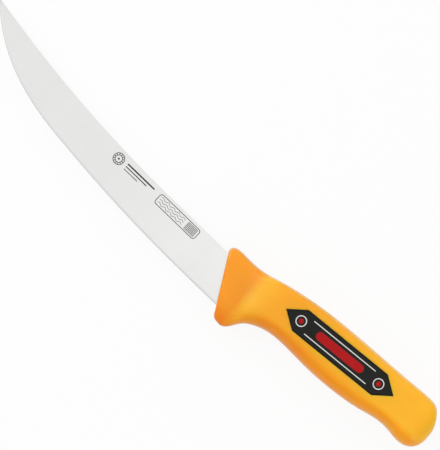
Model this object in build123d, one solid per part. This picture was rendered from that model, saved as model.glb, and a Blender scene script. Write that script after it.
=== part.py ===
"""Curved carving knife: a ground stainless blade with a hidden tang, a moulded handle and its label.

Millimetres. The knife is drawn in a working frame and moved to the part frame at the end. In the
working frame the blade's middle plane is z = 0, X runs from tip to butt, +Y is the spine side, and
the origin is where the blade's own axis leaves the guard. The handle is drawn in a grip frame, which
is the working frame turned about that origin by the rise of the handle. In the part frame the knife
lies on its flank on z = 0 with the label up, centred on the origin in X and Y.
"""

import os
from math import acos, cos, pi, radians, sin, sqrt, tan
from typing import NamedTuple

from build123d import *

# ---------------------------------------------------------------- blade, driving dimensions
blade_length = 180.0  # guard to tip, along the blade's axis
tip_rise = 23.3  # tip above the blade's axis
spine_rise = 10.6  # straight part of the spine above the axis
spine_straight = 46.0  # straight spine in front of the guard
edge_drop = 12.65  # cutting edge below the axis at the heel
edge_straight = 15.0  # straight edge in front of the guard
belly_radius = 800.0  # long shallow belly
belly_turn = 7.4  # degrees that the belly turns through
sweep_radius = 126.0  # tighter curve towards the tip
sweep_turn = 12.7  # degrees that it turns through
stock_thickness = 2.5  # sheet that the blade is stamped from
grind_allowance = 0.05  # taken off each flank at the spine by grinding and polishing
tip_thickness = 0.7  # spine thickness at the point
edge_thickness = 0.42  # left behind the cutting edge, where the bevel starts
bevel_height = 1.1  # sharpened bevel, across its width
bevel_limit = 0.33  # most of the blade's height that the bevel takes, near the point
point_share = 0.995  # share of the blade's outline where the last ground section stands
point_crowding = 1.3  # how closely the sections crowd towards the point, 1 being evenly spaced
blade_sections = 13  # wedge sections that the blade is lofted through

# ---------------------------------------------------------------- tang, driving dimensions
blade_seat = 4.0  # ground blade that is held inside the guard
tang_length = 98.0  # from the guard's face into the handle
tang_low = -3.0  # lower side, above the handle's axis
tang_high = 12.0  # upper side
tang_end_radius = 5.0
shoulder_end = 26.0  # where the heel has tapered down to the tang
key_hole_radius = 3.2  # holes that the moulding flows through
key_hole_first = 36.0  # first hole, behind the guard's face
key_hole_margin = 12.0  # last hole, in front of the tang's end
key_hole_count = 3  # two or more, evenly spaced between those

# ---------------------------------------------------------------- handle, driving dimensions
# Places are distances behind the guard's face along the handle's axis. Rises are heights above that
# axis on the back of the handle, and drops are depths below it on the finger side.
handle_rise = 4.8  # degrees that the handle's axis rises from the blade's axis
guard_slant = 26.0  # degrees that the guard's face leans towards the tip at the spine side
face_drop = 17.3  # straight front of the guard, its lower end
face_rise = 11.4  # its upper end
rim_radius = 1.6  # rounded rim of the guard's face, towards the flanks
rim_steps = 3  # strips that the rounding is made of
lower_horn_radius = 4.0  # front of the lower horn, seen from the flank
upper_horn_radius = 3.0  # front of the upper horn
horn_foot = (12.6, -19.7)  # finger side, behind the lower horn's front
horn_crown = (-2.6, 15.6)  # back of the handle, behind the upper horn's front
crest_foot = (14.3, -19.85)  # lowest point of the lower horn
crest_crown = (1.4, 15.45)
thumb_foot = (18.0, -17.65)  # finger side, where the thumb rest ends
thumb_crown = (9.0, 14.75)
neck_foot = (22.0, -12.6)  # finger side, where the lower horn runs into the neck
neck_crown = (16.0, 15.0)
throat_foot = (28.0, -9.0)  # finger side, in front of the waist
throat_crown = (24.0, 16.45)
waist_drop = 6.95
waist_rise = 18.8
waist_place = 41.0
grip_drop = 8.7
grip_rise = 19.7
grip_place = 59.0
palm_drop = 9.5
palm_rise = 19.45
palm_place = 79.0
heel_drop = 8.3  # under the heel of the hand
heel_rise = 18.95
hollow_drop = 6.85  # finger-side hollow in front of the butt
hollow_rise = 18.6
hollow_setback = 10.4  # from that hollow to the start of the butt's dome
butt_drop = 8.5
butt_rise = 18.15
butt_place = 122.0  # start of the butt's dome
dome_length = 9.9
dome_rise = 4.7  # height of the dome's peak
dome_finger_power = 0.68  # how the dome closes on the finger side, 1 being an ellipse and less squarer
dome_back_power = 1.3  # how it closes on the back
dome_sections = 5
gate_width = 3.0  # small flat gate mark at the dome's peak, across the knife
palm_thickness = 20.0  # across the flat flanks
guard_thickness = 12.4  # at the guard's face
thumb_thickness = 13.6  # across the thumb rest
flattening = 0.06  # stock on each flank that flattening takes off
land_low = 0.8  # flat flank, from this height
land_high = 14.6  # up to this height
guard_land_low = -4.0  # the same at the guard
guard_land_high = 7.5
thumb_share = 0.06  # how far the form has gone from thumb rest to palm where the thumb rest ends
neck_share = 0.58  # the same at the neck
throat_share = 0.93  # the same in front of the waist
back_fullness = 0.56  # how square the handle's back is, about 0.4 being an ellipse
finger_fullness = 0.45  # how square its finger side is
curve_strips = 4  # strips that each curve of a section is cut into, which keeps the surfaces narrow

# ---------------------------------------------------------------- label, driving dimensions
label_place = 70.1  # centre along the handle's axis
label_rise = 7.7  # centre above the handle's axis
label_length = 70.0
label_width = 13.4
label_point = 9.2  # length of each pointed end
label_thickness = 0.4
label_sink = 0.05  # label's face below the flank
label_clearance = 0.05  # gap all round it

# ---------------------------------------------------------------- frames and helpers
blade_slant = guard_slant + handle_rise
grip_frame = Location((0, 0, 0), (0, 0, handle_rise))


def upright_plane(foot, crown):
    """Plane on the line from foot to crown, with local x along that line and local y across the knife."""
    start = Vector(*foot)
    along = Vector(*crown) - start
    return Plane(origin=start, x_dir=along, z_dir=along.cross(Vector(0, 0, 1)))


def between(start, end, share):
    """Value that lies a share of the way from start to end."""
    return start + share * (end - start)


# ---------------------------------------------------------------- blade
def seat_point(height):
    """Point of the ground blade's rear end, inside the guard, at a height above the blade's axis."""
    return (blade_seat - height * tan(radians(blade_slant)), height)


def spine_curve():
    """Spine from inside the guard to the tip."""
    bend = (-spine_straight, spine_rise)
    straight = Line(seat_point(spine_rise), bend)
    sweep = TangentArc(bend, (-blade_length, tip_rise), tangent=(-1, 0))
    return Wire([straight, sweep])


def edge_curve():
    """Cutting edge from inside the guard to the tip."""
    straight = Line(seat_point(-edge_drop), (-edge_straight, -edge_drop))
    belly = JernArc(straight @ 1, straight % 1, belly_radius, -belly_turn)
    sweep = JernArc(belly @ 1, belly % 1, sweep_radius, -sweep_turn)
    point = TangentArc(sweep @ 1, (-blade_length, tip_rise), tangent=sweep % 1)
    return Wire([straight, belly, sweep, point])


def wedge_section(cutting, spine, spine_thickness):
    """Section standing on the cutting edge: two bevels, two flat-ground flanks and the spine."""
    height = (spine - cutting).length
    bevel = min(bevel_height, bevel_limit * height)
    behind_edge = min(edge_thickness, spine_thickness) / 2
    half = spine_thickness / 2
    outline = Polyline(
        (0, 0),
        (bevel, behind_edge),
        (height, half),
        (height, -half),
        (bevel, -behind_edge),
        close=True,
    )
    return upright_plane(cutting, spine) * make_face(outline)


def ground_blade():
    """Blade in front of its seat, lofted through wedge sections from the heel to the point."""
    spine = spine_curve()
    cutting = edge_curve()
    heel_thickness = stock_thickness - 2 * grind_allowance
    sections = []
    for step in range(blade_sections):
        share = point_share * (1 - (1 - step / (blade_sections - 1)) ** point_crowding)
        thickness = between(heel_thickness, tip_thickness, share)
        sections.append(wedge_section(cutting @ share, spine @ share, thickness))
    return loft(sections)


def tang_blank():
    """Full-thickness heel and tang behind the ground blade, with the keying holes."""
    middle = (tang_low + tang_high) / 2
    shoulders = [(grip_frame * Pos(shoulder_end, height)).position for height in (tang_low, tang_high)]
    heel = Polyline(seat_point(spine_rise), seat_point(-edge_drop), *shoulders, close=True)
    start = shoulder_end - tang_end_radius
    strip = RectangleRounded(tang_length - start, tang_high - tang_low, tang_end_radius)
    profile = make_face(heel) + grip_frame * Pos((start + tang_length) / 2, middle) * strip
    key_hole_last = tang_length - key_hole_margin
    for index in range(key_hole_count):
        place = between(key_hole_first, key_hole_last, index / (key_hole_count - 1))
        profile -= grip_frame * Pos(place, middle) * Circle(key_hole_radius)
    return extrude(profile, stock_thickness / 2, both=True)


# ---------------------------------------------------------------- handle
class Station(NamedTuple):
    """Section of the handle: its ends on the finger side and the back, and its form between them."""

    foot: tuple
    crown: tuple
    thickness: float
    land: tuple  # heights between which the flank is flat


def face_station(turn):
    """Section parallel to the guard's face, where its rounded rim has turned through an angle."""
    slant = radians(guard_slant)
    setback = rim_radius * (1 - cos(turn))
    ends = []
    for height, radius, side in ((-face_drop, lower_horn_radius, -1), (face_rise, upper_horn_radius, 1)):
        nose = sqrt(radius**2 - (radius - setback) ** 2)
        along = height / cos(slant) + side * nose
        place = setback * cos(slant) - along * sin(slant)
        ends.append((place, setback * sin(slant) + along * cos(slant)))
    thickness = guard_thickness - 2 * rim_radius * (1 - sin(turn))
    return Station(*ends, thickness, (guard_land_low, guard_land_high))


def body_station(place, drop, rise):
    """Upright section behind the waist, with the full thickness and the full flat flank."""
    return Station((place, -drop), (place, rise), palm_thickness + 2 * flattening, (land_low, land_high))


def fan_station(foot, crown, share):
    """Slanted section between the thumb rest and the waist."""
    thickness = between(thumb_thickness, palm_thickness, share)
    land = (between(guard_land_low, land_low, share), between(guard_land_high, land_high, share))
    return Station(foot, crown, thickness, land)


def guard_stations():
    """Sections that fan out from the slanted face of the guard to the upright waist."""
    land = (guard_land_low, guard_land_high)
    horn_thickness = (guard_thickness + thumb_thickness) / 2
    return [
        face_station(pi / 2),
        Station(horn_foot, horn_crown, horn_thickness, land),
        fan_station(crest_foot, crest_crown, 0),
        fan_station(thumb_foot, thumb_crown, thumb_share),
        fan_station(neck_foot, neck_crown, neck_share),
        fan_station(throat_foot, throat_crown, throat_share),
    ]


def palm_stations():
    """Sections from the waist to the start of the butt's dome."""
    hollow_place = butt_place - hollow_setback
    return [
        body_station(waist_place, waist_drop, waist_rise),
        body_station(grip_place, grip_drop, grip_rise),
        body_station(palm_place, palm_drop, palm_rise),
        body_station((palm_place + hollow_place) / 2, heel_drop, heel_rise),
        body_station(hollow_place, hollow_drop, hollow_rise),
        body_station(butt_place, butt_drop, butt_rise),
    ]


def dome_station(turn):
    """Section of the rounded butt: the butt's own, shrunk towards the dome's peak."""
    place = butt_place + dome_length * sin(turn)
    foot = between(dome_rise, -butt_drop, cos(turn) ** dome_finger_power)
    crown = between(dome_rise, butt_rise, cos(turn) ** dome_back_power)
    low = between(foot, crown, (land_low + butt_drop) / (butt_rise + butt_drop))
    high = between(foot, crown, (land_high + butt_drop) / (butt_rise + butt_drop))
    thickness = (palm_thickness + 2 * flattening) * cos(turn)
    return Station((place, foot), (place, crown), thickness, (low, high))


def rounded_quarter(start, end, flank, fullness):
    """Curve from the flat flank to the knife's middle plane: two tangent parabolas, cut into strips."""
    corner = Vector(between(start, end, fullness), flank)
    rim = Vector(end, fullness * flank)
    middle = (corner + rim) / 2
    edges = []
    for curve in (Bezier((start, flank), corner, middle), Bezier(middle, rim, (end, 0))):
        edges += [curve.trim(step / curve_strips, (step + 1) / curve_strips) for step in range(curve_strips)]
    return edges


def handle_section(station):
    """Closed outline with flat flanks, rounded full on the back and more softly on the finger side."""
    length = (Vector(*station.crown) - Vector(*station.foot)).length
    climb = (station.crown[1] - station.foot[1]) / length
    low, high = ((height - station.foot[1]) / climb for height in station.land)
    edges = []
    for flank in (station.thickness / 2, -station.thickness / 2):
        edges += rounded_quarter(low, 0, flank, finger_fullness)
        edges += rounded_quarter(high, length, flank, back_fullness)
        edges.append(Line((low, flank), (high, flank)))
    return upright_plane(station.foot, station.crown) * make_face(edges)


def handle_body():
    """Outer form of the moulding, with the rim of the guard's face rounded and both flanks flattened."""
    reach = acos(gate_width / palm_thickness)
    dome = [dome_station(reach * (step + 1) / dome_sections) for step in range(dome_sections)]
    stations = guard_stations() + palm_stations() + dome
    rim = [face_station(pi / 2 * step / rim_steps) for step in range(rim_steps + 1)]
    form = loft([handle_section(station) for station in stations])
    form += loft([handle_section(station) for station in rim], ruled=True)
    span = 2 * form.bounding_box().size.X
    return form & Box(span, span, palm_thickness)


# ---------------------------------------------------------------- label
def label_outline(clearance):
    """Long hexagon of the label, with a clearance all round it."""
    half_width = label_width / 2
    half_length = label_length / 2
    shoulder = half_length - label_point
    corners = [
        (half_length, 0),
        (shoulder, half_width),
        (-shoulder, half_width),
        (-half_length, 0),
        (-shoulder, -half_width),
        (shoulder, -half_width),
    ]
    hexagon = make_face(Polyline(*corners, close=True))
    if clearance:
        hexagon = offset(hexagon, clearance, kind=Kind.INTERSECTION)
    return Pos(label_place, label_rise) * hexagon


# ---------------------------------------------------------------- assembly
pocket_floor = palm_thickness / 2 - label_sink - label_thickness
label = Pos(Z=pocket_floor) * extrude(label_outline(0), label_thickness)
pocket = Pos(Z=pocket_floor) * extrude(label_outline(label_clearance), palm_thickness)

blade = ground_blade() + tang_blank()
handle = grip_frame * (handle_body() - pocket) - blade
pieces = {"blade": blade, "handle": handle, "handle_label": grip_frame * label}

knife_box = Compound(children=[piece.solid() for piece in pieces.values()]).bounding_box()
to_part_frame = Pos(-knife_box.center().X, -knife_box.center().Y, palm_thickness / 2)
rest_point = (to_part_frame * grip_frame * Pos(label_place, label_rise)).position
print("overall size", knife_box.size)
print("working frame's origin in the part frame", to_part_frame.position)
print("label's centre in the part frame", rest_point)

os.makedirs("parts", exist_ok=True)
for name, piece in pieces.items():
    export_step(to_part_frame * piece, f"parts/{name}.step")
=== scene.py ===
# %% [markdown]
# # A carving knife on white
#
# The knife has three pieces: a ground stainless blade with a hidden tang, a plastic handle moulded round
# it in one shot, and a printed foil label that is pressed flush into one flank of the handle. The packed
# CAD model already holds their exact shapes, so this lesson is about finishes: satin-ground steel, glossy
# moulded plastic with the marks that its mould leaves, and printed foil.

# %% Load the model
from math import atan2, cos, pi, radians, sin, tan

import bmesh
import bpy
from mathutils import Matrix, Vector
from mathutils.bvhtree import BVHTree


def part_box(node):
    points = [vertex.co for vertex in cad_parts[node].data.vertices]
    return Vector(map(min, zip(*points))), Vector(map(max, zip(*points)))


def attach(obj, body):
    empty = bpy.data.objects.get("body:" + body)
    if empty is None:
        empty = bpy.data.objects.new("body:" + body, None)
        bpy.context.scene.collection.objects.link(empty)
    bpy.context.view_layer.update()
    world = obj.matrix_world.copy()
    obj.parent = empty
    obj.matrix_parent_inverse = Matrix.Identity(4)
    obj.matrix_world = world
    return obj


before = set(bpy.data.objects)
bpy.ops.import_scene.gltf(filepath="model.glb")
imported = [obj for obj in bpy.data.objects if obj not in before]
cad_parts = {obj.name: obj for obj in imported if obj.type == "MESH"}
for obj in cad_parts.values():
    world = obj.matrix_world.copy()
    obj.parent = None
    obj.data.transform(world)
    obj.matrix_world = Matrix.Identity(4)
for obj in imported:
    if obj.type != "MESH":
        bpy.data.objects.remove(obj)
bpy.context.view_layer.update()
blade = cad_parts["blade"]
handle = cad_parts["handle"]
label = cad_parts["handle_label"]
print("pieces", sorted(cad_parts))

# %% [markdown]
# ## Where things are
#
# A maker measures a knife from the place where the blade leaves the guard. Everything below is placed in
# flat frames: one runs along the blade from there, one along the handle, which rises a few degrees from
# it, and one lies on the label. Their places come from the boxes of the loaded pieces, so the finishes
# stay in place if the model is packed again.

# %% Frames of the blade, the handle and the label
MM = 0.001
BLADE_REACH = 179.3 * MM  # from the guard to the tip
EDGE_DROP = 12.65 * MM  # cutting edge at the heel, below the blade's axis
HANDLE_RISE = radians(4.8)
UPWARD = Vector((0, 0, 1))
DOWNWARD = Vector((0, 0, -1))

blade_low, blade_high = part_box("blade")
label_low, label_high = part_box("handle_label")
mid_plane = (blade_low.z + blade_high.z) / 2
guard_centre = Vector((blade_low.x + BLADE_REACH, blade_low.y + EDGE_DROP, mid_plane))
blade_frame = Matrix.Translation(guard_centre)
handle_frame = blade_frame @ Matrix.Rotation(HANDLE_RISE, 4, "Z")
label_centre = (label_low + label_high) / 2
label_centre.z = label_high.z
label_frame = Matrix.Translation(label_centre) @ Matrix.Rotation(HANDLE_RISE, 4, "Z")
print("guard centre in mm", [round(v / MM, 2) for v in guard_centre])
print("label centre in mm", [round(v / MM, 2) for v in label_centre])

# %% [markdown]
# ## Camera
#
# The photograph looks straight down on the knife, which lies on its flank. A long lens far away keeps the
# blade and the handle at the same scale. The camera is turned so that the knife runs from the upper left
# to the lower right, and the picture's own scale sets its lens.

# %% Camera
PICTURE_WIDTH = 440  # pixels
PICTURE_HEIGHT = 450
PIXEL = 0.507 * MM  # size of one pixel at the knife's middle plane
GUARD_ACROSS = 222.9  # where the guard's centre is seen, in pixels from the picture's upper left corner
GUARD_DOWN = 276.7
VIEW_TURN = radians(44)
CAMERA_DISTANCE = 5.0
CAMERA_REACH = 10.0  # how far it sees, well past the floor

picture_right = Vector((cos(VIEW_TURN), sin(VIEW_TURN), 0))
picture_up = Vector((-sin(VIEW_TURN), cos(VIEW_TURN), 0))
aim = guard_centre + picture_right * (PICTURE_WIDTH / 2 - GUARD_ACROSS) * PIXEL
aim += picture_up * (GUARD_DOWN - PICTURE_HEIGHT / 2) * PIXEL
camera_data = bpy.data.cameras.new("camera")
camera_data.sensor_fit = "VERTICAL"
camera_data.lens = camera_data.sensor_height * CAMERA_DISTANCE / (PICTURE_HEIGHT * PIXEL)
camera_data.clip_end = CAMERA_REACH
camera = bpy.data.objects.new("camera", camera_data)
camera.location = aim + UPWARD * CAMERA_DISTANCE
camera.rotation_euler = (0, 0, VIEW_TURN)
scene = bpy.context.scene
scene.collection.objects.link(camera)
scene.camera = camera
print("lens in mm", round(camera_data.lens, 1))

# %% [markdown]
# ## Helpers for node trees
#
# Materials are trees of nodes. Four small helpers keep the cells below short: one starts a material, one
# adds a node and sets its values, one joins pairs of sockets, and one puts a material on a piece.


# %% Node helpers
def new_tree(name):
    """New material with an empty node tree; returns both."""
    material = bpy.data.materials.new(name)
    material.use_nodes = True
    material.node_tree.nodes.clear()
    return material, material.node_tree


def add(tree, kind, inputs=None, **values):
    """New node of a kind, with its plain properties and the default values of its inputs set."""
    node = tree.nodes.new("ShaderNode" + kind)
    for name, value in values.items():
        setattr(node, name, value)
    for name, value in (inputs or {}).items():
        node.inputs[name].default_value = value
    return node


def join(tree, *pairs):
    """Link each pair of an output socket and an input socket."""
    for source, target in pairs:
        tree.links.new(source, target)


def dress(piece, material):
    """Give a loaded piece one material, in place of what it had."""
    piece.data.materials.clear()
    piece.data.materials.append(material)


print("helpers", [helper.__name__ for helper in (new_tree, add, join, dress)])

# %% [markdown]
# ## Floor
#
# The knife lies on a white sweep that shows almost no shadow. A floor could be lit until it burns out,
# but the same light would bleach the knife. Here the floor is matt white, and what the camera and
# mirror-like surfaces see of it is mostly a plain white glow, so that only a faint shadow stays.

# %% Floor finish
FLOOR_WHITE = 0.8
SHADOW_SHARE = 0.1  # how much of the real shadow is seen

sweep, tree = new_tree("white_sweep")
matt = add(tree, "BsdfDiffuse", {"Color": (FLOOR_WHITE, FLOOR_WHITE, FLOOR_WHITE, 1)})
glow = add(tree, "Emission", {"Color": (1, 1, 1, 1), "Strength": 1})
ray_kind = add(tree, "LightPath")
camera_or_glossy = add(tree, "Math", operation="MAXIMUM")
camera_or_mirror = add(tree, "Math", operation="MAXIMUM")
glow_share = add(tree, "Math", {1: 1 - SHADOW_SHARE}, operation="MULTIPLY")
blend = add(tree, "MixShader")
output = add(tree, "OutputMaterial")
join(
    tree,
    (ray_kind.outputs["Is Camera Ray"], camera_or_glossy.inputs[0]),
    (ray_kind.outputs["Is Glossy Ray"], camera_or_glossy.inputs[1]),
    (camera_or_glossy.outputs[0], camera_or_mirror.inputs[0]),
    (ray_kind.outputs["Is Transmission Ray"], camera_or_mirror.inputs[1]),
    (camera_or_mirror.outputs[0], glow_share.inputs[0]),
    (glow_share.outputs[0], blend.inputs["Fac"]),
    (matt.outputs[0], blend.inputs[1]),
    (glow.outputs[0], blend.inputs[2]),
    (blend.outputs[0], output.inputs["Surface"]),
)
print("the floor shows", SHADOW_SHARE, "of its shadow")

# %% Floor
FLOOR_SIZE = 3.0
FLOOR_GAP = 0.05 * MM  # keeps the floor from flickering through the flank that lies on it

half = FLOOR_SIZE / 2
floor_corners = [(-half, -half, 0), (half, -half, 0), (half, half, 0), (-half, half, 0)]
floor_mesh = bpy.data.meshes.new("floor")
floor_mesh.from_pydata(floor_corners, [], [(0, 1, 2, 3)])
floor_mesh.materials.append(sweep)
floor = bpy.data.objects.new("floor", floor_mesh)
floor.location.z = -FLOOR_GAP
scene.collection.objects.link(floor)
print("floor of", FLOOR_SIZE, "m")

# %% [markdown]
# ## Light
#
# A product like this is shot inside a white tent: light from all round, a little stronger from one side.
# The tent is the world, whose strength rises with the dot product between the direction of the light and
# the direction of the bright side. Polished steel shows what is straight above it, so the roof of the tent
# sets how bright the blade looks. An image of a real tent would light the knife too, but two levels and a
# direction can be tuned by hand.

# %% World
TENT_BRIGHT = 1.1
TENT_DARK = 0.28
TENT_TURN = -0.45  # dot product at which the dark side begins
BRIGHT_AZIMUTH = radians(72)  # measured on the picture, 0 being right and 90 up
BRIGHT_ELEVATION = radians(55)


def picture_direction(azimuth, elevation):
    """Direction in the part's frame of a bearing on the picture and a height above the floor."""
    flat = picture_right * cos(azimuth) + picture_up * sin(azimuth)
    return flat * cos(elevation) + UPWARD * sin(elevation)


world = bpy.data.worlds.new("light_tent")
scene.world = world
world.use_nodes = True
tree = world.node_tree
background = tree.nodes["Background"]
background.inputs["Color"].default_value = (1, 1, 1, 1)
bright_side = picture_direction(BRIGHT_AZIMUTH, BRIGHT_ELEVATION)
light_from = add(tree, "TexCoord")
facing = add(tree, "VectorMath", {1: bright_side}, operation="DOT_PRODUCT")
tent_levels = {"From Min": TENT_TURN, "From Max": 1, "To Min": TENT_DARK, "To Max": TENT_BRIGHT}
level = add(tree, "MapRange", tent_levels)
join(
    tree,
    (light_from.outputs["Generated"], facing.inputs[0]),
    (facing.outputs["Value"], level.inputs["Value"]),
    (level.outputs[0], background.inputs["Strength"]),
)
roof_share = (bright_side.z - TENT_TURN) / (1 - TENT_TURN)
print("strength of the tent's roof", round(TENT_DARK + (TENT_BRIGHT - TENT_DARK) * roof_share, 2))

# %% [markdown]
# Three soft lamps stand in for the photographer's: one shines along the knife from the tip's side and
# models the swelling behind the guard, one stands low beyond the butt and lights the finger side, and a
# weak one hangs over the heel of the blade. Each is a square that is placed by its bearing on the picture,
# its height above the floor and its distance; the larger and nearer it is, the softer its light. Tent and
# lamps together add up to a plain level, at which a colour renders about as it is written.


# %% Lamps
def soft_lamp(name, target, azimuth, elevation, distance, size, power):
    """Square lamp that shines on a point; its bearing and its height are given in degrees."""
    lamp_data = bpy.data.lights.new(name, "AREA")
    lamp_data.size = size
    lamp_data.energy = power
    lamp = bpy.data.objects.new(name, lamp_data)
    lampward = picture_direction(radians(azimuth), radians(elevation))
    lamp.location = target + lampward * distance
    lamp.rotation_euler = lampward.to_track_quat("Z", "Y").to_euler()
    scene.collection.objects.link(lamp)
    print(name, "gives", power, "W from", [round(v, 2) for v in lamp.location])


soft_lamp("tip_side_lamp", guard_centre, azimuth=134, elevation=42, distance=1.2, size=0.5, power=4.5)
soft_lamp("butt_side_lamp", guard_centre, azimuth=290, elevation=18, distance=1.2, size=0.5, power=2.1)
soft_lamp("heel_lamp", guard_centre, azimuth=300, elevation=84, distance=0.9, size=0.25, power=0.04)
scene.view_settings.view_transform = "Standard"  # no film curve between the colours and the picture

# %% [markdown]
# ## Effects that several finishes share
#
# The surfaces share a few effects at different strengths: a fine grain on plastic and print, smudges and
# hairline scratches from handling, and on plastic and steel edges that are worn a little rounder. Each is
# a node group with named inputs and outputs, built once and placed, with its own values, in every material
# that shows it. They read object coordinates, in metres, so a scale is a number of features per metre.

# %% Group helpers
FLOAT = "NodeSocketFloat"
VECTOR = "NodeSocketVector"


def new_group(name, inputs, outputs):
    """Node group with float inputs given as name: default, and outputs given as name: socket type."""
    group = bpy.data.node_groups.new(name, "ShaderNodeTree")
    for title, value in inputs.items():
        socket = group.interface.new_socket(title, in_out="INPUT", socket_type=FLOAT)
        socket.default_value = value
    for title, kind in outputs.items():
        group.interface.new_socket(title, in_out="OUTPUT", socket_type=kind)
    return group, group.nodes.new("NodeGroupInput"), group.nodes.new("NodeGroupOutput")


def use_group(tree, group, **values):
    """A group placed in a tree, with the inputs that differ from their defaults."""
    node = tree.nodes.new("ShaderNodeGroup")
    node.node_tree = group
    for name, value in values.items():
        node.inputs[name.replace("_", " ")].default_value = value
    return node


print("group helpers", [helper.__name__ for helper in (new_group, use_group)])

# %% [markdown]
# No moulded or printed surface is quite smooth. A fine noise gives the grain that a finger feels, and a
# broad one the slow unevenness that shows in reflections. Both could be image textures, but a noise never
# repeats and needs no unwrapping.

# %% Fine grain
grain_group, given, result = new_group(
    "fine_grain", {"Scale": 2000, "Waviness": 60}, {"Grain": FLOAT, "Waves": FLOAT}
)
where = add(grain_group, "TexCoord")
fine = add(grain_group, "TexNoise", {"Detail": 3, "Roughness": 0.6})
broad = add(grain_group, "TexNoise", {"Detail": 1.5, "Roughness": 0.4})
join(
    grain_group,
    (where.outputs["Object"], fine.inputs["Vector"]),
    (where.outputs["Object"], broad.inputs["Vector"]),
    (given.outputs["Scale"], fine.inputs["Scale"]),
    (given.outputs["Waviness"], broad.inputs["Scale"]),
    (fine.outputs["Fac"], result.inputs["Grain"]),
    (broad.outputs["Fac"], result.inputs["Waves"]),
)
print(grain_group.name, "has", len(grain_group.nodes), "nodes")

# %% [markdown]
# A knife that has been held carries smudges, and among them hairline scratches. The smudges are the high
# parts of a cloudy noise. A scratch could be drawn as a thin line, but every one would need its place.
# Here scratches are where a second, stretched noise passes through its middle value, which it does along
# long, thin and slightly curved contours.

# %% Handling marks
SMUDGE_START = 0.42  # value of the cloudy noise at which a smudge begins
SMUDGE_FULL = 0.72
SCRATCH_TURN = 0.6  # radians
SCRATCH_STRETCH = (0.12, 1, 1)
NOISE_MIDDLE = 0.5

marks_group, given, result = new_group(
    "handling_marks",
    {"Smudge Scale": 35, "Scratch Scale": 120, "Scratch Width": 0.004},
    {"Smudges": FLOAT, "Scratches": FLOAT},
)
where = add(marks_group, "TexCoord")
cloud = add(marks_group, "TexNoise", {"Detail": 4, "Roughness": 0.55})
smudge_range = {"From Min": SMUDGE_START, "From Max": SMUDGE_FULL}
smudge = add(marks_group, "MapRange", smudge_range, interpolation_type="SMOOTHSTEP")
stretch = add(marks_group, "Mapping", {"Rotation": (0, 0, SCRATCH_TURN), "Scale": SCRATCH_STRETCH})
contour = add(marks_group, "TexNoise", {"Detail": 2, "Roughness": 0.5})
offset = add(marks_group, "Math", {1: NOISE_MIDDLE}, operation="SUBTRACT")
off_middle = add(marks_group, "Math", operation="ABSOLUTE")
hairline = add(marks_group, "Math", operation="LESS_THAN")
within_smudge = add(marks_group, "Math", operation="MULTIPLY")
join(
    marks_group,
    (where.outputs["Object"], cloud.inputs["Vector"]),
    (given.outputs["Smudge Scale"], cloud.inputs["Scale"]),
    (cloud.outputs["Fac"], smudge.inputs["Value"]),
    (smudge.outputs[0], result.inputs["Smudges"]),
    (where.outputs["Object"], stretch.inputs["Vector"]),
    (stretch.outputs[0], contour.inputs["Vector"]),
    (given.outputs["Scratch Scale"], contour.inputs["Scale"]),
    (contour.outputs["Fac"], offset.inputs[0]),
    (offset.outputs[0], off_middle.inputs[0]),
    (off_middle.outputs[0], hairline.inputs[0]),
    (given.outputs["Scratch Width"], hairline.inputs[1]),
    (hairline.outputs[0], within_smudge.inputs[0]),
    (smudge.outputs[0], within_smudge.inputs[1]),
    (within_smudge.outputs[0], result.inputs["Scratches"]),
)
print(marks_group.name, "has", len(marks_group.nodes), "nodes")

# %% [markdown]
# Edges that are touched and wiped wear round. A rounding could be modelled on every edge. The bevel node
# gets the same look from the surface round each point: it returns the direction that a rounded edge would
# have. How far that direction and the real one differ tells how much an edge is worn.

# %% Worn edges
BEVEL_SAMPLES = 6

edge_group, given, result = new_group(
    "worn_edges", {"Radius": 0.4 * MM, "Sharpness": 6}, {"Wear": FLOAT, "Normal": VECTOR}
)
rounded = add(edge_group, "Bevel", samples=BEVEL_SAMPLES)
surface = add(edge_group, "NewGeometry")
agreement = add(edge_group, "VectorMath", operation="DOT_PRODUCT")
bend = add(edge_group, "Math", {0: 1}, operation="SUBTRACT")
wear = add(edge_group, "Math", operation="MULTIPLY", use_clamp=True)
join(
    edge_group,
    (given.outputs["Radius"], rounded.inputs["Radius"]),
    (rounded.outputs[0], agreement.inputs[0]),
    (surface.outputs["Normal"], agreement.inputs[1]),
    (agreement.outputs["Value"], bend.inputs[1]),
    (bend.outputs[0], wear.inputs[0]),
    (given.outputs["Sharpness"], wear.inputs[1]),
    (wear.outputs[0], result.inputs["Wear"]),
    (rounded.outputs[0], result.inputs["Normal"]),
)
print(edge_group.name, "has", len(edge_group.nodes), "nodes")

# %% [markdown]
# ## Moulded plastic
#
# The handle is a tough translucent orange plastic. Red light travels a few millimetres inside it and blue
# hardly at all, so shaded sides don't turn grey but a deeper orange. Painting that deeper colour would
# fail under other light. Subsurface scattering with a long red and a short blue radius does it by itself.
# The colour along the handle is painted light and shade: it is deepest on the guard, for the shade on its
# flank, and lightest just behind it and at the butt, for the highlight on the swelling and the light that
# falls there. A ramp along the handle's own axis sets it from a few colours.

# %% Painted light and shade along the handle
HANDLE_LENGTH = 132 * MM
# Painted light and shade: the low stops on the guard stand for the shade on its flank, the stop at 19 mm for
# the highlight on the swelling behind it, the one at 40 mm for the shade of the waist, and the rising ones
# for the light towards the butt.
PAINTED_LIGHT_STOPS = (  # places behind the guard in mm, and the colour there
    (6, (0.86, 0.335, 0.008)),
    (13.5, (0.85, 0.315, 0.007)),
    (19, (0.90, 0.485, 0.022)),
    (28, (0.87, 0.405, 0.010)),
    (40, (0.87, 0.38, 0.006)),
    (70, (0.90, 0.425, 0.008)),
    (118, (0.94, 0.485, 0.010)),
)

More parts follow.
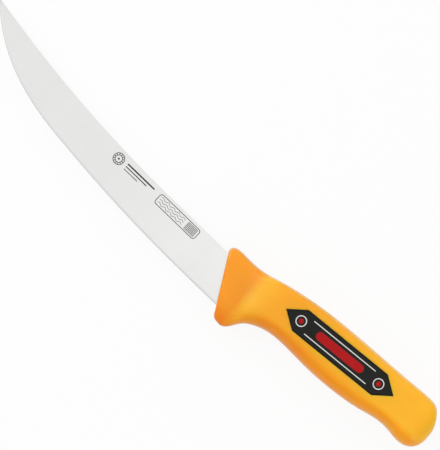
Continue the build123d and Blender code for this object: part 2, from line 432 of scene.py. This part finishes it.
plastic, tree = new_tree("moulded_plastic")
coordinates = add(tree, "TexCoord")
handle_place = {"Location": guard_centre, "Rotation": (0, 0, HANDLE_RISE)}
in_handle_frame = add(tree, "Mapping", handle_place, vector_type="TEXTURE")
behind_guard = add(tree, "SeparateXYZ")
share = add(tree, "Math", {1: HANDLE_LENGTH}, operation="DIVIDE")
painted_light_ramp = add(tree, "ValToRGB")
stops = painted_light_ramp.color_ramp.elements
while len(stops) < len(PAINTED_LIGHT_STOPS):
    stops.new(1)
for stop, (position, tone) in zip(stops, PAINTED_LIGHT_STOPS):
    stop.position = position * MM / HANDLE_LENGTH
    stop.color = (*tone, 1)
join(
    tree,
    (coordinates.outputs["Object"], in_handle_frame.inputs["Vector"]),
    (in_handle_frame.outputs[0], behind_guard.inputs[0]),
    (behind_guard.outputs["X"], share.inputs[0]),
    (share.outputs[0], painted_light_ramp.inputs["Fac"]),
)
print("colour stops", [round(stop.position, 3) for stop in stops])

# %% [markdown]
# The scattering alone leaves the flank on the finger side a little grey, so a deeper orange is painted where
# the surface leans to that side: painted shade. A faint cloud makes the whole colour uneven.

# %% Painted shade on the finger side, and cloud
# The tint is painted shade. It is strongest where the surface leans to the finger side.
PAINTED_SHADE_TINT = (1.0, 0.76, 0.5)
LEAN_START = 0.1  # how far the surface faces the finger side where the tint begins
LEAN_FULL = 0.65
CLOUD_DARK = 0.96  # factors on the colour
CLOUD_LIGHT = 1.03

grain = use_group(tree, grain_group, Scale=2600, Waviness=70)
finger_side = handle_frame.to_3x3() @ Vector((0, -1, 0))
lean = add(tree, "VectorMath", {1: finger_side}, operation="DOT_PRODUCT")
lean_range = {"From Min": LEAN_START, "From Max": LEAN_FULL}
painted_shade_share = add(tree, "MapRange", lean_range, interpolation_type="SMOOTHSTEP")
painted_shade = add(tree, "Mix", {"B": (*PAINTED_SHADE_TINT, 1)}, data_type="RGBA", blend_type="MULTIPLY")
unevenness = add(tree, "MapRange", {"To Min": CLOUD_DARK, "To Max": CLOUD_LIGHT})
colour = add(tree, "Mix", {"Factor": 1}, data_type="RGBA", blend_type="MULTIPLY")
join(
    tree,
    (coordinates.outputs["Normal"], lean.inputs[0]),
    (lean.outputs["Value"], painted_shade_share.inputs["Value"]),
    (painted_shade_share.outputs[0], painted_shade.inputs["Factor"]),
    (painted_light_ramp.outputs["Color"], painted_shade.inputs["A"]),
    (grain.outputs["Waves"], unevenness.inputs["Value"]),
    (painted_shade.outputs["Result"], colour.inputs["A"]),
    (unevenness.outputs[0], colour.inputs["B"]),
)
print("the finger side faces", [round(v, 2) for v in finger_side])

# %% [markdown]
# The mould's surface is eroded by sparks and leaves a fine grain, and the plastic shrinks as it cools, so
# the flanks are very slightly wavy. Two bumps in a row, one broad and one fine, give both. Handling adds
# smudges and hairlines to the gloss, as it does on steel, and polishes what stands proud.


# %% Gloss helper
def handled_gloss(tree, marks, clean, smudged, scratch_adds):
    """Roughness that smudges and scratches raise; returns its socket."""
    gloss = add(tree, "MapRange", {"To Min": clean, "To Max": smudged})
    scuff = add(tree, "Math", {1: scratch_adds}, operation="MULTIPLY_ADD")
    join(
        tree,
        (marks.outputs["Smudges"], gloss.inputs["Value"]),
        (marks.outputs["Scratches"], scuff.inputs[0]),
        (gloss.outputs[0], scuff.inputs[2]),
    )
    return scuff.outputs[0]


print("helper", handled_gloss.__name__)

# %% Gloss and grain of the handle
EDGE_POLISH = 0.1  # roughness that a worn edge loses

shader = add(
    tree,
    "BsdfPrincipled",
    {
        "IOR": 1.5,
        "Specular IOR Level": 0.32,
        "Subsurface Weight": 0.8,
        "Subsurface Radius": (1.0, 0.2, 0.04),
        "Subsurface Scale": 4.5 * MM,
    },
)
marks = use_group(tree, marks_group, Smudge_Scale=45, Scratch_Scale=140, Scratch_Width=0.0022)
edges = use_group(tree, edge_group, Radius=1.0 * MM, Sharpness=5)
roughness = handled_gloss(tree, marks, clean=0.32, smudged=0.42, scratch_adds=0.12)
polish = add(tree, "Math", {1: -EDGE_POLISH}, operation="MULTIPLY_ADD")
fine_bump = add(tree, "Bump", {"Strength": 0.16, "Distance": 0.02 * MM})
wave_bump = add(tree, "Bump", {"Strength": 0.25, "Distance": 0.15 * MM})
output = add(tree, "OutputMaterial")
join(
    tree,
    (colour.outputs["Result"], shader.inputs["Base Color"]),
    (edges.outputs["Wear"], polish.inputs[0]),
    (roughness, polish.inputs[2]),
    (polish.outputs[0], shader.inputs["Roughness"]),
    (grain.outputs["Waves"], wave_bump.inputs["Height"]),
    (edges.outputs["Normal"], wave_bump.inputs["Normal"]),
    (grain.outputs["Grain"], fine_bump.inputs["Height"]),
    (wave_bump.outputs[0], fine_bump.inputs["Normal"]),
    (fine_bump.outputs[0], shader.inputs["Normal"]),
    (shader.outputs[0], output.inputs["Surface"]),
)
dress(handle, plastic)
print(plastic.name, "has", len(tree.nodes), "nodes")

# %% [markdown]
# Scattering needs thickness. On a bead a tenth of a millimetre high nearly all the red light would leak
# away and leave it green. What is that thin gets a copy of the plastic with the scattering turned off.

# %% Plastic for thin beads
thin_plastic = plastic.copy()
thin_plastic.name = "thin_plastic"
thin_shader = next(node for node in thin_plastic.node_tree.nodes if node.type == "BSDF_PRINCIPLED")
thin_shader.inputs["Subsurface Weight"].default_value = 0
print(thin_plastic.name, "scatters", thin_shader.inputs["Subsurface Weight"].default_value)

# %% [markdown]
# ## Ground steel
#
# The flanks are ground on a belt that runs across the blade, from spine to edge, which leaves fine
# parallel lines that way. Each line could be a groove in the mesh, but there are thousands. A noise whose
# coordinates are stretched draws them: it changes quickly across the lines and slowly along them. A second
# one, wider still, gives the broad streaks that the belt leaves.

# %% Grind lines
THROUGH_BLADE = 200  # features per metre through the blade's thickness
STREAK_SCALE = (0.04, 0.1, 0.1)  # of a streak, as shares of a line's

grind_group, given, result = new_group(
    "grind_lines", {"Across": 3500, "Along": 40}, {"Lines": FLOAT, "Streaks": FLOAT}
)
where = add(grind_group, "TexCoord")
scales = add(grind_group, "CombineXYZ", {"Z": THROUGH_BLADE})
spread = add(grind_group, "VectorMath", operation="MULTIPLY")
lines = add(grind_group, "TexNoise", {"Scale": 1, "Detail": 3, "Roughness": 0.7})
wide = add(grind_group, "VectorMath", {1: STREAK_SCALE}, operation="MULTIPLY")
streaks = add(grind_group, "TexNoise", {"Scale": 1, "Detail": 2, "Roughness": 0.5})
join(
    grind_group,
    (given.outputs["Across"], scales.inputs["X"]),
    (given.outputs["Along"], scales.inputs["Y"]),
    (where.outputs["Object"], spread.inputs[0]),
    (scales.outputs[0], spread.inputs[1]),
    (spread.outputs[0], lines.inputs["Vector"]),
    (spread.outputs[0], wide.inputs[0]),
    (wide.outputs[0], streaks.inputs["Vector"]),
    (lines.outputs["Fac"], result.inputs["Lines"]),
    (streaks.outputs["Fac"], result.inputs["Streaks"]),
)
print(grind_group.name, "has", len(grind_group.nodes), "nodes")

# %% [markdown]
# The narrow sharpened bevel is honed finer than the flank, and it is given a lighter colour: painted light,
# which keeps it from rendering dark where it leans away from the light. It could have a material of its own.
# One material does both here: a mask tells the bevel from the flank by how far the surface leans over, which
# is a property of the shape and not of the camera.

# %% Colour of the steel
STEEL = (0.80, 0.80, 0.79)
STEEL_STREAK = (0.77, 0.77, 0.76)
# The bevel's colour, lighter than the flank's, is painted light.
BEVEL_PAINTED_LIGHT = (0.84, 0.845, 0.845)
BEVEL_UPWARD = 0.985  # upward part of the surface's direction on the bevel
FLANK_UPWARD = 0.999

steel, tree = new_tree("ground_steel")
grind = use_group(tree, grind_group, Across=4200, Along=45)
surface = add(tree, "NewGeometry")
split = add(tree, "SeparateXYZ")
upward_part = add(tree, "Math", operation="ABSOLUTE")
flank = add(tree, "MapRange", {"From Min": BEVEL_UPWARD, "From Max": FLANK_UPWARD})
streaked = add(tree, "Mix", {"A": (*STEEL, 1), "B": (*STEEL_STREAK, 1)}, data_type="RGBA")
colour = add(tree, "Mix", {"A": (*BEVEL_PAINTED_LIGHT, 1)}, data_type="RGBA")
join(
    tree,
    (surface.outputs["True Normal"], split.inputs[0]),
    (split.outputs["Z"], upward_part.inputs[0]),
    (upward_part.outputs[0], flank.inputs["Value"]),
    (grind.outputs["Streaks"], streaked.inputs["Factor"]),
    (flank.outputs[0], colour.inputs["Factor"]),
    (streaked.outputs["Result"], colour.inputs["B"]),
)
print("flank", STEEL, "with streaks", STEEL_STREAK, "and bevel", BEVEL_PAINTED_LIGHT)

# %% Finish of the steel
shader = add(tree, "BsdfPrincipled", {"Metallic": 1, "IOR": 2.5})
marks = use_group(tree, marks_group, Smudge_Scale=30, Scratch_Scale=160, Scratch_Width=0.0022)
edges = use_group(tree, edge_group, Radius=0.15 * MM)
roughness = handled_gloss(tree, marks, clean=0.2, smudged=0.27, scratch_adds=0.1)
bump = add(tree, "Bump", {"Strength": 0.1, "Distance": 0.005 * MM})
output = add(tree, "OutputMaterial")
join(
    tree,
    (colour.outputs["Result"], shader.inputs["Base Color"]),
    (roughness, shader.inputs["Roughness"]),
    (grind.outputs["Lines"], bump.inputs["Height"]),
    (edges.outputs["Normal"], bump.inputs["Normal"]),
    (bump.outputs[0], shader.inputs["Normal"]),
    (shader.outputs[0], output.inputs["Surface"]),
)
dress(blade, steel)
print(steel.name, "has", len(tree.nodes), "nodes")

# %% [markdown]
# ## Foil and ink
#
# The label is a plastic foil with a satin skin, printed in red and off-white and pressed into its pocket.
# Foil, inks and the laser marks on the blade differ only in colour, gloss and grain, so one function makes
# all of them. Each has a second colour, in which it is patchy.

# %% Printed finishes
SMUDGE_ADDS = 0.12  # roughness that a smudge adds


def printed(name, colour, patch_colour, roughness, fineness):
    """Satin finish with a fine grain, smudges and a slightly uneven colour."""
    material, tree = new_tree(name)
    shader = add(tree, "BsdfPrincipled", {"IOR": 1.45, "Specular IOR Level": 0.2})
    grain = use_group(tree, grain_group, Scale=fineness, Waviness=400)
    marks = use_group(tree, marks_group, Smudge_Scale=60)
    tint = add(tree, "Mix", {"A": (*colour, 1), "B": (*patch_colour, 1)}, data_type="RGBA")
    gloss = add(tree, "MapRange", {"To Min": roughness, "To Max": roughness + SMUDGE_ADDS})
    bump = add(tree, "Bump", {"Strength": 0.12, "Distance": 0.01 * MM})
    output = add(tree, "OutputMaterial")
    join(
        tree,
        (grain.outputs["Waves"], tint.inputs["Factor"]),
        (tint.outputs["Result"], shader.inputs["Base Color"]),
        (marks.outputs["Smudges"], gloss.inputs["Value"]),
        (gloss.outputs[0], shader.inputs["Roughness"]),
        (grain.outputs["Grain"], bump.inputs["Height"]),
        (bump.outputs[0], shader.inputs["Normal"]),
        (shader.outputs[0], output.inputs["Surface"]),
    )
    print(name, "has", len(tree.nodes), "nodes")
    return material


foil = printed("label_foil", (0.011, 0.012, 0.010), (0.007, 0.008, 0.006), roughness=0.5, fineness=1800)
black_ink = printed("black_ink", (0.002, 0.002, 0.002), (0.001, 0.001, 0.001), roughness=0.5, fineness=1800)
red_ink = printed("red_ink", (0.44, 0.003, 0.004), (0.34, 0.002, 0.003), roughness=0.45, fineness=2400)
white_ink = printed("off_white_ink", (0.72, 0.72, 0.69), (0.62, 0.62, 0.59), roughness=0.45, fineness=2400)
laser_mark = printed("laser_mark", (0.03, 0.03, 0.032), (0.055, 0.055, 0.057), roughness=0.55, fineness=3000)
dress(label, foil)

# %% [markdown]
# ## Thin prints
#
# Ink and laser marks are films about a hundredth of a millimetre thick. They could be painted with masks
# in the shader, but a thin mesh keeps its crisp edge in every view and in an exported model. Every motif
# is made of strips: a row of pairs of points, left and right, that is laid on the surface below it and
# given its thickness. A line, a ring, a disc and a bar with round ends are all strips.

# %% Strips along lines
STEP = 1.2 * MM  # lines are cut into stretches of about this length


def resample(points, closed=False):
    """Points along a line, with its corners kept and its long stretches cut."""
    ends = points[1:] + points[:1] if closed else points[1:]
    line = []
    for start, end in zip(points, ends):
        count = max(1, round((end - start).length / STEP))
        line += [start.lerp(end, i / count) for i in range(count)]
    return line if closed else line + [points[-1]]


def line_strip(points, width, closed=False):
    """Strip of even width along a line, mitred at its corners."""
    line = resample([Vector(point) for point in points], closed)
    pairs = []
    for i, point in enumerate(line):
        before = line[i - 1] if closed or i > 0 else None
        after = line[(i + 1) % len(line)] if closed or i < len(line) - 1 else None
        leaving = (after - point if after else point - before).normalized()
        arriving = (point - before if before else after - point).normalized()
        along = (leaving + arriving).normalized()
        across = Vector((-along.y, along.x)) * (width / 2 / along.dot(leaving))
        pairs.append((point - across, point + across))
    return pairs + pairs[:1] if closed else pairs


print("lines are cut about every", STEP / MM, "mm")

# %% Round strips
ARC_STEPS = 18  # on a half circle
DISC_CUTS = 9  # places at which a disc is cut across, from pole to pole
LAST_CUT = 85  # degrees from the disc's middle to its last cut, just short of the pole


def arc(centre, radius, start=0.0, end=2 * pi):
    """Points on an arc, both ends included."""
    steps = max(2, round(abs(end - start) / pi * ARC_STEPS))
    turns = [start + (end - start) * i / steps for i in range(steps + 1)]
    return [Vector(centre) + Vector((cos(turn), sin(turn))) * radius for turn in turns]


def ring_strip(centre, radius, width):
    """Closed strip on a circle."""
    return line_strip(arc(centre, radius)[:-1], width, closed=True)


def bar_strip(start, end, width):
    """Straight bar with round ends; with both ends at one point it is a disc."""
    start, end = Vector(start), Vector(end)
    along = (end - start).normalized() if end != start else Vector((1, 0))
    across = Vector((-along.y, along.x))
    turns = [radians(-LAST_CUT + 2 * LAST_CUT * i / (DISC_CUTS - 1)) for i in range(DISC_CUTS)]
    cuts = [(start, turn) for turn in turns if turn <= 0] + [(end, turn) for turn in turns if turn >= 0]
    pairs = []
    for centre, turn in cuts:
        middle = centre + along * sin(turn) * width / 2
        reach = across * cos(turn) * width / 2
        pairs.append((middle - reach, middle + reach))
    return pairs


print("a circle has", 2 * ARC_STEPS, "steps")

# %% [markdown]
# A strip is still flat. Each of its points is dropped from above onto the piece that carries it, and makes
# two vertices there: one stands proud by the film's thickness, and one lies below the surface, so that no
# gap shows under the film's walls.


# %% New pieces
def surface_tree(target):
    """Search tree of a piece's surface, for dropping points onto it."""
    return BVHTree.FromObject(target, bpy.context.evaluated_depsgraph_get())


def place_piece(name, mesh, material, slot_name):
    """Object of a finished mesh that rides with the knife."""
    bmesh.ops.recalc_face_normals(mesh, faces=mesh.faces)
    data = bpy.data.meshes.new(name)
    mesh.to_mesh(data)
    mesh.free()
    data.materials.append(material)
    piece = bpy.data.objects.new(name, data)
    scene.collection.objects.link(piece)
    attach(piece, "root")
    print(name, "has", len(data.polygons), "faces")


print("helpers", [helper.__name__ for helper in (surface_tree, place_piece)])

# %% Film maker
FILM = 0.012 * MM  # how far a film stands proud
FILM_ROOT = 0.02 * MM  # how deep its walls reach into what carries it
DROP_HEIGHT = 1.0  # metres above its frame from which a point is dropped
SAME_SPOT = STEP / 1000  # points closer than this are one


def film_row(mesh, pair, place, surface):
    """Vertices below and above the surface, first at the left point of a pair and then at the right."""
    row = []
    for point in pair:
        spot = place @ Vector((point.x, point.y, 0))
        hit = surface.ray_cast(spot + UPWARD * DROP_HEIGHT, DOWNWARD)[0]
        row += [mesh.verts.new(hit + UPWARD * rise) for rise in (-FILM_ROOT, FILM)]
    return row


def film(name, strips, place, target, material, slot_name):
    """Thin closed mesh of strips, laid on the upper side of a piece."""
    surface = surface_tree(target)
    mesh = bmesh.new()
    for pairs in strips:
        rows = [film_row(mesh, pair, place, surface) for pair in pairs]
        closed = (pairs[0][0] - pairs[-1][0]).length < SAME_SPOT
        if closed:
            rows[-1] = rows[0]
        for here, there in zip(rows, rows[1:]):
            left_low, left_high, right_low, right_high = here
            next_left_low, next_left_high, next_right_low, next_right_high = there
            mesh.faces.new((left_high, next_left_high, next_right_high, right_high))
            mesh.faces.new((left_low, right_low, next_right_low, next_left_low))
            mesh.faces.new((left_low, next_left_low, next_left_high, left_high))
            mesh.faces.new((right_low, right_high, next_right_high, next_right_low))
        if not closed:
            for left_low, left_high, right_low, right_high in (rows[0], rows[-1]):
                mesh.faces.new((left_low, left_high, right_high, right_low))
    bmesh.ops.delete(mesh, geom=[vert for vert in mesh.verts if not vert.link_faces], context="VERTS")
    place_piece(name, mesh, material, slot_name)


print("films stand", FILM / MM, "mm proud")

# %% [markdown]
# ## Print on the label
#
# The label carries a plain design in the colours of such labels: a red bar, off-white pinstripes beside it
# and, at each end, a red dot in an off-white ring. A thin black border hides the cut edge of the foil. The
# motifs lie side by side, so no ink covers another and all the films are equally thick.

# %% Border of the label
LABEL_LENGTH = 70 * MM
LABEL_WIDTH = 13.4 * MM
LABEL_POINT = 9.2 * MM  # length of each pointed end
BORDER = 0.55 * MM
BORDER_MARGIN = 0.06 * MM

inset = BORDER / 2 + BORDER_MARGIN
point_turn = atan2(LABEL_WIDTH / 2, LABEL_POINT)
half_width = LABEL_WIDTH / 2 - inset
half_length = LABEL_LENGTH / 2 - inset / sin(point_turn)
shoulder = half_length - half_width / tan(point_turn)
hexagon = [
    (half_length, 0),
    (shoulder, half_width),
    (-shoulder, half_width),
    (-half_length, 0),
    (-shoulder, -half_width),
    (shoulder, -half_width),
]
border = [line_strip(hexagon, BORDER, closed=True)]
film("label_border", border, label_frame, label, black_ink, "label_foil")

# %% Red and off-white print
RED_BAR_LENGTH = 30 * MM
RED_BAR_WIDTH = 4.6 * MM
DOT_PLACE = 25.2 * MM  # from the label's middle
DOT_RADIUS = 1.3 * MM
RING_RADIUS = 2.7 * MM
PINSTRIPE_LENGTH = 40 * MM
PINSTRIPE_WIDTH = 0.5 * MM
PINSTRIPE_RISE = 4.1 * MM
BOTH_SIDES = (-1, 1)

bar_end = (RED_BAR_LENGTH - RED_BAR_WIDTH) / 2
dots = [(side * DOT_PLACE, 0) for side in BOTH_SIDES]
red = [bar_strip((-bar_end, 0), (bar_end, 0), RED_BAR_WIDTH)]
red += [bar_strip(dot, dot, DOT_RADIUS * 2) for dot in dots]
film("label_red_print", red, label_frame, label, red_ink, "label_foil")

pinstripe_end = PINSTRIPE_LENGTH / 2
white = []
for side in BOTH_SIDES:
    rise = side * PINSTRIPE_RISE
    white.append(line_strip([(-pinstripe_end, rise), (pinstripe_end, rise)], PINSTRIPE_WIDTH))
white += [ring_strip(dot, RING_RADIUS, PINSTRIPE_WIDTH) for dot in dots]
film("label_white_print", white, label_frame, label, white_ink, "label_foil")

# %% [markdown]
# ## Marks on the blade
#
# Blades are marked by laser or by etching, in dark grey, just below the spine. Here the marks are plain
# ornaments: a rosette, three pinstripes, and a rounded frame with hatching and waves. Distances along the
# blade are measured from the guard, so towards the tip they are negative.

# %% Rosette and pinstripes
MARK_MIDDLE = 6.0 * MM  # height of the marks' middle above the blade's axis
FINE = 0.38 * MM  # widths of lines
HAIR = 0.24 * MM
ROSETTE = (-79.5 * MM, MARK_MIDDLE + 0.4 * MM)
ROSETTE_RADIUS = 3.0 * MM
ROSETTE_INNER_RADIUS = 1.9 * MM
ROSETTE_DOT = 1.1 * MM
PETALS = 12
BARS = ((18 * MM, 0.8 * MM), (14 * MM, 0.55 * MM), (9 * MM, 0.4 * MM))  # lengths and widths, from the top
BARS_START = -74 * MM
BARS_RISE = 1.7 * MM  # of the first, above the marks' middle
BARS_STEP = 1.6 * MM

marks_on_blade = [ring_strip(ROSETTE, radius, FINE) for radius in (ROSETTE_RADIUS, ROSETTE_INNER_RADIUS)]
marks_on_blade.append(bar_strip(ROSETTE, ROSETTE, ROSETTE_DOT))
for petal in range(PETALS):
    turn = 2 * pi * petal / PETALS
    outward = Vector((cos(turn), sin(turn)))
    spoke = [Vector(ROSETTE) + outward * radius for radius in (ROSETTE_INNER_RADIUS, ROSETTE_RADIUS)]
    marks_on_blade.append(line_strip(spoke, FINE))

for index, (length, width) in enumerate(BARS):
    rise = MARK_MIDDLE + BARS_RISE - BARS_STEP * index
    marks_on_blade.append(bar_strip((BARS_START, rise), (BARS_START + length, rise), width))
print("strips so far", len(marks_on_blade))

# %% Rounded frame with hatching
FRAME_LEFT = -51.5 * MM
FRAME_RIGHT = -24.0 * MM
FRAME_LOW = MARK_MIDDLE - 3.0 * MM
FRAME_HIGH = MARK_MIDDLE + 2.8 * MM
FRAME_RADIUS = 1.4 * MM
HATCH_LINES = 9
HATCH_STEP = 0.75 * MM
HATCH_OVERSHOOT = 0.8 * MM  # past the centres of the frame's corners

left, right = FRAME_LEFT + FRAME_RADIUS, FRAME_RIGHT - FRAME_RADIUS
low, high = FRAME_LOW + FRAME_RADIUS, FRAME_HIGH - FRAME_RADIUS
outline = []
for quarter, corner in enumerate(((right, high), (left, high), (left, low), (right, low))):
    outline += arc(corner, FRAME_RADIUS, quarter * pi / 2, (quarter + 1) * pi / 2)
marks_on_blade.append(line_strip(outline, FINE, closed=True))

for index in range(HATCH_LINES):
    hatch = right - index * HATCH_STEP
    ends_of_hatch = [(hatch, low - HATCH_OVERSHOOT), (hatch, high + HATCH_OVERSHOOT)]
    marks_on_blade.append(line_strip(ends_of_hatch, FINE))
print("strips so far", len(marks_on_blade))

# %% Waves in the frame
WAVE_ROWS = 3
WAVE_POINTS = 38
WAVE_STEP = 0.45 * MM  # from one point to the next
WAVE_TURN = pi / 4
WAVE_RISE = 0.42 * MM

for row in range(WAVE_ROWS):
    rise = low + (high - low) * row / (WAVE_ROWS - 1)
    wave = [(left + WAVE_STEP * i, rise + WAVE_RISE * sin(WAVE_TURN * i)) for i in range(WAVE_POINTS)]
    marks_on_blade.append(line_strip(wave, HAIR))
film("blade_marks", marks_on_blade, blade_frame, blade, laser_mark, "blade_steel")

# %% [markdown]
# ## What the mould leaves
#
# A handle comes out of a mould of two halves. Where they meet, a fine bead runs all round it, and where
# the plastic went in, a small round gate mark stays at the butt. A line in the shader would miss the
# outline of the handle, so both are meshes. The bead's path is found by slicing a copy of the handle at
# its middle plane and walking along the cut, which keeps the bead on the surface everywhere.

# %% Cut through the handle
WELD = 0.001 * MM  # points closer than this are one
CLEAR_OF_BLADE = 0.05 * MM

sliced = bmesh.new()
sliced.from_mesh(handle.data)
bmesh.ops.remove_doubles(sliced, verts=sliced.verts, dist=WELD)
everything = [*sliced.verts, *sliced.edges, *sliced.faces]
cut = bmesh.ops.bisect_plane(sliced, geom=everything, plane_co=guard_centre, plane_no=UPWARD)["geom_cut"]
blade_surface = surface_tree(blade)


def off_blade(vert):
    """Whether a point of the cut lies on the outside of the handle, and not in the slot of the blade."""
    *_, distance = blade_surface.find_nearest(vert.co)
    return distance > CLEAR_OF_BLADE


outside = {item for item in cut if isinstance(item, bmesh.types.BMVert) and off_blade(item)}
neighbours = {vert: [] for vert in outside}
for item in cut:
    if isinstance(item, bmesh.types.BMEdge) and set(item.verts) <= outside:
        first, second = item.verts
        neighbours[first].append(second)
        neighbours[second].append(first)
print("points on the parting line", len(outside))


# %% Walk along the cut
def walk(start):
    """Vertices met from one end of the cut to the other."""
    chain = [start]
    while True:
        onward = [vert for vert in neighbours[chain[-1]] if len(chain) < 2 or vert is not chain[-2]]
        if not onward or len(chain) > len(neighbours):
            return chain
        chain.append(onward[0])


chain_ends = [vert for vert in outside if len(neighbours[vert]) == 1]
path = [vert.co.copy() for vert in walk(max(chain_ends, key=lambda vert: vert.co.y))]
sliced.free()
print("ends", len(chain_ends), "and points walked", len(path))

# %% Parting line
BEAD_WIDTH = 0.34 * MM
BEAD_HEIGHT = 0.08 * MM
BEAD_ROOT = 0.03 * MM  # how deep its edges lie in the handle
BEAD_SIDES = 6

bead = bmesh.new()
bead_rings = []
for i, point in enumerate(path):
    forward = (path[min(i + 1, len(path) - 1)] - path[max(i - 1, 0)]).normalized()
    outward = forward.cross(DOWNWARD)
    ring = []
    for side in range(BEAD_SIDES + 1):
        turn = pi * side / BEAD_SIDES
        rise = (BEAD_HEIGHT + BEAD_ROOT) * sin(turn) - BEAD_ROOT
        ring.append(bead.verts.new(point + outward * rise + UPWARD * (BEAD_WIDTH / 2 * cos(turn))))
    bead_rings.append(ring)
for here, there in zip(bead_rings, bead_rings[1:]):
    for side in range(BEAD_SIDES + 1):
        after = (side + 1) % (BEAD_SIDES + 1)
        bead.faces.new((here[side], here[after], there[after], there[side]))
for ring in (bead_rings[0], bead_rings[-1]):
    bead.faces.new(ring)
place_piece("parting_line", bead, thin_plastic, "handle_plastic")

# %% [markdown]
# The plastic that hardens in the gate is snapped off, which leaves a small stub inside a low rim. Both are
# one profile that is turned round the mark's middle. Each of its points is dropped onto the butt from
# behind and raised from there, so the mark follows the dome.

# %% Points of the gate mark
GATE_RISE = 3.4 * MM  # above the handle's axis
GATE_START = HANDLE_LENGTH * 1.1  # behind the butt, from where points are dropped onto it

handle_surface = surface_tree(handle)
rearward = handle_frame.to_3x3() @ Vector((1, 0, 0))
gate = bmesh.new()


def on_butt(aside, above, height):
    """Vertex of the gate mark, dropped onto the butt from behind and raised from it."""
    start = handle_frame @ Vector((GATE_START, GATE_RISE + aside, above))
    return gate.verts.new(handle_surface.ray_cast(start, -rearward)[0] + rearward * height)


print("rearward is", [round(v, 2) for v in rearward])

# %% Gate mark
GATE_PROFILE = (  # distances from the mark's middle and heights above the butt, in mm
    (0.3, 0.11),
    (0.45, 0.03),
    (0.75, 0.03),
    (0.85, 0.07),
    (0.95, 0.05),
    (1.0, -0.03),
)
GATE_CROWN = 0.12 * MM
GATE_SIDES = 24

crown = on_butt(0, 0, GATE_CROWN)
turns = [2 * pi * side / GATE_SIDES for side in range(GATE_SIDES)]
gate_rings = [
    [on_butt(radius * MM * cos(turn), radius * MM * sin(turn), height * MM) for turn in turns]
    for radius, height in GATE_PROFILE
]
for side in range(GATE_SIDES):
    after = (side + 1) % GATE_SIDES
    gate.faces.new((crown, gate_rings[0][side], gate_rings[0][after]))
    for inner, outer in zip(gate_rings, gate_rings[1:]):
        gate.faces.new((inner[side], outer[side], outer[after], inner[after]))
gate.faces.new(gate_rings[-1])
print("gate mark is", round((crown.co - guard_centre).length / MM, 1), "mm from the guard")
place_piece("gate_mark", gate, thin_plastic, "handle_plastic")
